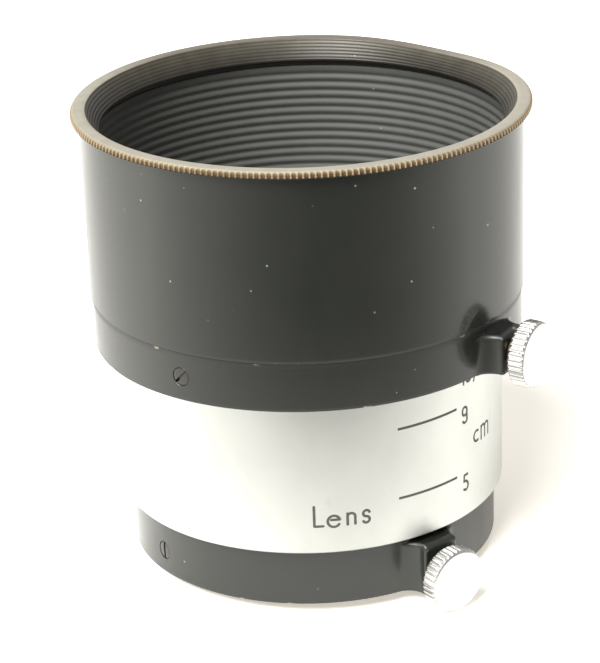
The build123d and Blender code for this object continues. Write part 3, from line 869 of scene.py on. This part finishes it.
def drilled_collar(name, collar_r, joint, bottom, top, lug_top, bore):
    """Collar with the holes for its thumbscrew and its band screw."""
    azimuth = joint_azimuth(joint)
    piece = collar(name, collar_r, azimuth, bottom, top, lug_top, bore)
    rise = joints[joint]["pos_m"][2] / MM
    seat = radial(azimuth + BAND_SCREW_OFFSET, bottom + BAND_SCREW_RISE)
    floor = collar_r - SMALL_SINK - SMALL_HEAD_H - SEAT
    stem = radial(azimuth, rise)
    cut(
        piece,
        drill(STEM_R + RUNNING, collar_r / 2, collar_r + LUG_REACH, MOUTH_FLARE, stem),
        drill(SMALL_SHANK_R + SEAT, collar_r / 2, collar_r, 0.0, seat),
        drill(SMALL_HEAD_R + SMALL_RECESS, floor, collar_r, SMALL_FLARE, seat),
    )
    return piece


def bore_corners(bore_r, groove_r, bottom, stop_corners):
    """Bore from the collar's top down to its open end, with the groove for its band."""
    middle = bottom + BAND_RISE
    return stop_corners + [
        (bore_r, middle + GROOVE_H / 2, 0.06, 1),
        (groove_r, middle + GROOVE_H / 2, 0.06, 1),
        (groove_r, middle - GROOVE_H / 2, 0.06, 1),
        (bore_r, middle - GROOVE_H / 2, 0.06, 1),
        (bore_r, bottom + MOUTH_FLARE, 0.06, 1),
        (bore_r + MOUTH_FLARE, bottom, 0, 1),
    ]


def build_barrel(black, brass):
    """Barrel and front rim, both with the dent."""
    upright = level(90)
    barrel = turned("barrel", barrel_outline(), BARREL_COLUMNS, upright, bend=knocked)
    place_piece(barrel, black, "hood_barrel")
    rim = turned(
        "front_rim_knurled",
        rim_outline(),
        RIM_TEETH * RIM_TOOTH_COLUMNS,
        upright,
        crest=knurl(RIM_R, RIM_TOOTH, RIM_TEETH, KNURL_SLOPE),
        tooth=RIM_TOOTH,
        bend=knocked,
    )
    place_piece(rim, brass, "front_rim")


def build_base_collar(black):
    """Collar that clamps on the lens rim, with a stop for the rim."""
    stop = [
        (SPIGOT_BORE_R, BASE_TOP, 0.1, 1),
        (SPIGOT_BORE_R, STOP_TOP, 0.06, 1),
        (STOP_R, STOP_TOP, 0.1, 1),
        (STOP_R, STOP_Z, 0.1, 1),
        (CLAMP_BORE_R, STOP_Z, 0.06, 1),
    ]
    bore = bore_corners(CLAMP_BORE_R, BASE_GROOVE_R, 0, stop)
    joint = "base_thumbscrew_turn"
    piece = drilled_collar("base_clamp_collar", BASE_R, joint, 0, BASE_TOP, BASE_LUG_TOP, bore)
    place_piece(piece, black, "base_collar")


def build_hood_collar(black):
    """Collar that slides on the tube, with a seat for the barrel's spigot."""
    seat = [
        (SPIGOT_R + SEAT, HOOD_COLLAR_TOP, 0, 1),
        (SPIGOT_R + SEAT, BARREL_Z - SEAT, 0.05, 1),
        (TUBE_R + RUNNING, BARREL_Z - SEAT, 0.08, 1),
    ]
    piece = drilled_collar(
        "hood_clamp_collar",
        HOOD_COLLAR_R,
        "hood_thumbscrew_turn",
        HOOD_COLLAR_Z,
        HOOD_COLLAR_TOP,
        HOOD_COLLAR_Z + HOOD_LUG_RISE,
        bore_corners(TUBE_R + RUNNING, HOOD_GROOVE_R, HOOD_COLLAR_Z, seat),
    )
    place_piece(piece, black, "hood_collar")


def build_screws(nickel, dark):
    """Both thumbscrews, then both band screws."""
    ends = (
        ("base", BASE_R, 0.0, BASE_GROOVE_R, BASE_FACE_R, 90.0),
        ("hood", HOOD_COLLAR_R, HOOD_COLLAR_Z, HOOD_GROOVE_R, HOOD_FACE_R, 45.0),
    )
    for end, _, _, groove_r, face_r, _ in ends:
        joint = end + "_thumbscrew_turn"
        knob = thumbscrew(end + "_knurled_screw", joint, face_r, groove_r - TIP_GAP)
        place_piece(knob, nickel, end + "_thumbscrew")
    for end, collar_r, bottom, groove_r, _, tilt in ends:
        azimuth = joint_azimuth(end + "_thumbscrew_turn") + BAND_SCREW_OFFSET
        place = radial(azimuth, bottom + BAND_SCREW_RISE)
        small = band_screw(end + "_slotted_screw", place, collar_r, groove_r - SMALL_TIP, tilt)
        place_piece(small, dark, end + "_band_screw")


def dress_cad_nodes():
    """Materials of the CAD nodes that stay visible."""
    kept = {
        "inner_tube": (satin_chrome(), "satin_chrome"),
        "scale_infill": (engraving_paint(), "engraving_paint"),
        "guide_ring": (dull_bronze(), "spring_bronze"),
    }
    bronze = spring_bronze()
    kept["base_clamp_band"] = (bronze, "spring_bronze")
    kept["hood_clamp_band"] = (bronze, "spring_bronze")
    for node, (material, slot) in kept.items():
        piece = frame["nodes"][node]
        for item in piece.material_slots:
            item.link = "OBJECT"
            item.material = material


def build_pieces():
    """Every piece that stands for a CAD node, and the materials of the nodes that stay."""
    black, brass, nickel, dark = black_lacquer(), worn_brass(), bright_nickel(), small_screw()
    build_barrel(black, brass)
    build_base_collar(black)
    build_hood_collar(black)
    build_screws(nickel, dark)
    dress_cad_nodes()


# ---------------------------------------------------------------- stage


CAMERA_PLACE = (0.0, -0.25518, 0.12932)
CAMERA_PITCH = 0.3941
CAMERA_ROLL = -0.0357
CAMERA_YAW = -0.0038
CAMERA_LENS = 134.65
SENSOR = 36.0
LEAN_R = 24.1
FLOOR_SIZE = 4.0
FLOOR_GLOW = 0.5
CARD_SIZE = 1.2
CARD_AZIMUTH = math.radians(11)
CARD_SPREAD = math.radians(92)
CARD_DEPTH = 0.95
CARD_NEAR = 0.01
CARD_FAR = 0.12
CARD_FOOT = 0.2
CARD_LEFT = 0.15
CARD_LEFT_RANGE = (-0.45 * math.pi, -0.75 * math.pi)
CARD_RIGHT = 0.28
CARD_RIGHT_RANGE = (0.25 * math.pi, 0.5 * math.pi)
CARD_LIFT = 0.0003
BACKDROP = 2.6
SKY = 0.95
DIM_SIDE = (0.5, -0.6, 0.6)
DIM_SHARE = 0.3
KEY = 6.0
KEY_ANGLE = math.radians(35)
KEY_AZIMUTH = math.radians(-35)
KEY_ELEVATION = math.radians(52)


def add_camera():
    """Camera looking down at the hood from in front, with a slight roll."""
    data = bpy.data.cameras.new("camera")
    data.lens = CAMERA_LENS
    data.sensor_width = SENSOR
    data.clip_start = 0.01
    camera = bpy.data.objects.new("camera", data)
    bpy.context.scene.collection.objects.link(camera)
    right = Vector((1, 0, 0))
    ahead = Vector((0, math.cos(CAMERA_PITCH), -math.sin(CAMERA_PITCH)))
    up = Vector((0, math.sin(CAMERA_PITCH), math.cos(CAMERA_PITCH)))
    c, s = math.cos(CAMERA_ROLL), math.sin(CAMERA_ROLL)
    right, up = right * c + up * s, up * c - right * s
    turn = Matrix.Rotation(-CAMERA_YAW, 4, "Z")
    basis = Matrix((right, up, -ahead)).transposed().to_4x4()
    camera.matrix_world = Matrix.Translation(CAMERA_PLACE) @ turn @ basis
    bpy.context.scene.camera = camera


def sheet(name, size, matrix):
    """Flat square sheet."""
    half = size / 2
    mesh = bpy.data.meshes.new(name)
    spots = [(-half, -half, 0), (half, -half, 0), (half, half, 0), (-half, half, 0)]
    mesh.from_pydata(spots, [], [(0, 1, 2, 3)])
    piece = bpy.data.objects.new(name, mesh)
    piece.matrix_world = matrix
    bpy.context.scene.collection.objects.link(piece)
    return piece


def lean():
    """Place of the floor. The hood leans a little on its lower thumbscrew and the far edge."""
    azimuth = math.radians(joint_azimuth("base_thumbscrew_turn"))
    drop = HEAD_R - joints["base_thumbscrew_turn"]["pos_m"][2] / MM
    slope = math.atan2(drop, LEAN_R + BASE_R)
    outward = Vector((math.sin(azimuth), -math.cos(azimuth), 0))
    hinge = outward.cross(Vector((0, 0, 1)))
    tilt = Matrix.Rotation(-slope, 4, hinge)
    return Matrix.Translation(-outward * BASE_R * MM) @ tilt


def mixed(m, share, first, second):
    """Material that shows the first shader, and the second one by its share."""
    choice = m.add("ShaderNodeMixShader")
    m.feed(choice.inputs[0], share)
    m.feed(choice.inputs[1], first.outputs[0])
    m.feed(choice.inputs[2], second.outputs[0])
    return choice


def add_floor():
    """White floor with a faint warm glow of its own, unseen from below."""
    floor = sheet("floor", FLOOR_SIZE, lean())
    m = Recipe("floor_white")
    grain = m.noise(40, 3)
    matt = m.add("ShaderNodeBsdfDiffuse")
    m.feed(matt.inputs["Color"], m.mix(grain, (0.90, 0.90, 0.865), (0.92, 0.92, 0.885)))
    glow = m.add("ShaderNodeEmission")
    m.feed(glow.inputs["Color"], (1.0, 0.92, 0.80))
    m.feed(glow.inputs["Strength"], FLOOR_GLOW)
    both = m.add("ShaderNodeAddShader")
    m.feed(both.inputs[0], matt.outputs[0])
    m.feed(both.inputs[1], glow.outputs[0])
    behind = m.add("ShaderNodeNewGeometry").outputs["Backfacing"]
    shown = mixed(m, behind, both, m.add("ShaderNodeBsdfTransparent"))
    m.feed(m.add("ShaderNodeOutputMaterial").inputs["Surface"], shown.outputs[0])
    floor.data.materials.append(m.material)


def add_dark_card():
    """Soft dark card on the floor, seen only in reflections. It is dark in front and a little
    dim at both sides."""
    card = sheet("dark_card", CARD_SIZE, Matrix.Translation((0, 0, CARD_LIFT)) @ lean())
    card.visible_camera = False
    card.visible_diffuse = False
    card.visible_shadow = False
    card.visible_transmission = False
    m = Recipe("card_black")
    spot = m.add("ShaderNodeSeparateXYZ")
    m.feed(spot.inputs[0], m.add("ShaderNodeNewGeometry").outputs["Position"])
    x, y = spot.outputs["X"], m.math("MULTIPLY", spot.outputs["Y"], -1.0)
    around = m.math("ARCTAN2", x, y)
    azimuth = m.math("ABSOLUTE", m.math("SUBTRACT", around, CARD_AZIMUTH))
    turn = m.math("MINIMUM", m.math("MULTIPLY", azimuth, math.pi / 2 / CARD_SPREAD), math.pi / 2)
    distance = m.math("SQRT", m.math("ADD", m.math("MULTIPLY", x, x), m.math("MULTIPLY", y, y)))
    ahead = m.ramp(distance, CARD_NEAR, CARD_FAR, CARD_FOOT, 1.0)
    front = m.math("MULTIPLY", m.math("MULTIPLY", m.math("COSINE", turn), CARD_DEPTH), ahead)
    left = m.ramp(around, *CARD_LEFT_RANGE, 0.0, CARD_LEFT)
    right = m.ramp(around, *CARD_RIGHT_RANGE, 0.0, CARD_RIGHT)
    share = m.math("MAXIMUM", front, m.math("MAXIMUM", left, right))
    black = m.add("ShaderNodeEmission")
    m.feed(black.inputs["Strength"], 0.0)
    shown = mixed(m, share, m.add("ShaderNodeBsdfTransparent"), black)
    m.feed(m.add("ShaderNodeOutputMaterial").inputs["Surface"], shown.outputs[0])
    card.data.materials.append(m.material)


def add_light():
    """Pale surroundings, dimmer over the right front, and one large soft light from the left."""
    world = bpy.data.worlds.new("studio")
    world.use_nodes = True
    tree = world.node_tree
    tree.nodes.clear()
    bpy.context.scene.world = world
    where = tree.nodes.new("ShaderNodeTexCoord")
    facing = tree.nodes.new("ShaderNodeVectorMath")
    facing.operation = "DOT_PRODUCT"
    tree.links.new(where.outputs["Generated"], facing.inputs[0])
    facing.inputs[1].default_value = DIM_SIDE
    dim = tree.nodes.new("ShaderNodeMapRange")
    tree.links.new(facing.outputs["Value"], dim.inputs["Value"])
    dim.inputs["From Min"].default_value = -1.0
    dim.inputs["To Min"].default_value = SKY
    dim.inputs["To Max"].default_value = SKY * DIM_SHARE
    seen = tree.nodes.new("ShaderNodeLightPath")
    strength = tree.nodes.new("ShaderNodeMix")
    tree.links.new(seen.outputs["Is Camera Ray"], strength.inputs["Factor"])
    tree.links.new(dim.outputs["Result"], strength.inputs[2])
    strength.inputs[3].default_value = BACKDROP
    shine = tree.nodes.new("ShaderNodeBackground")
    tree.links.new(strength.outputs[0], shine.inputs["Strength"])
    shine.inputs["Color"].default_value = (1.0, 0.995, 0.98, 1.0)
    out = tree.nodes.new("ShaderNodeOutputWorld")
    tree.links.new(shine.outputs[0], out.inputs["Surface"])
    data = bpy.data.lights.new("key", "SUN")
    data.energy = KEY
    data.angle = KEY_ANGLE
    key = bpy.data.objects.new("key", data)
    level_share = math.cos(KEY_ELEVATION)
    towards = Vector(
        (
            math.sin(KEY_AZIMUTH) * level_share,
            -math.cos(KEY_AZIMUTH) * level_share,
            math.sin(KEY_ELEVATION),
        )
    )
    key.rotation_euler = towards.to_track_quat("Z", "Y").to_euler()
    bpy.context.scene.collection.objects.link(key)


build_pieces()
add_floor()
add_dark_card()
add_light()
add_camera()
bpy.context.scene.view_settings.view_transform = "Standard"
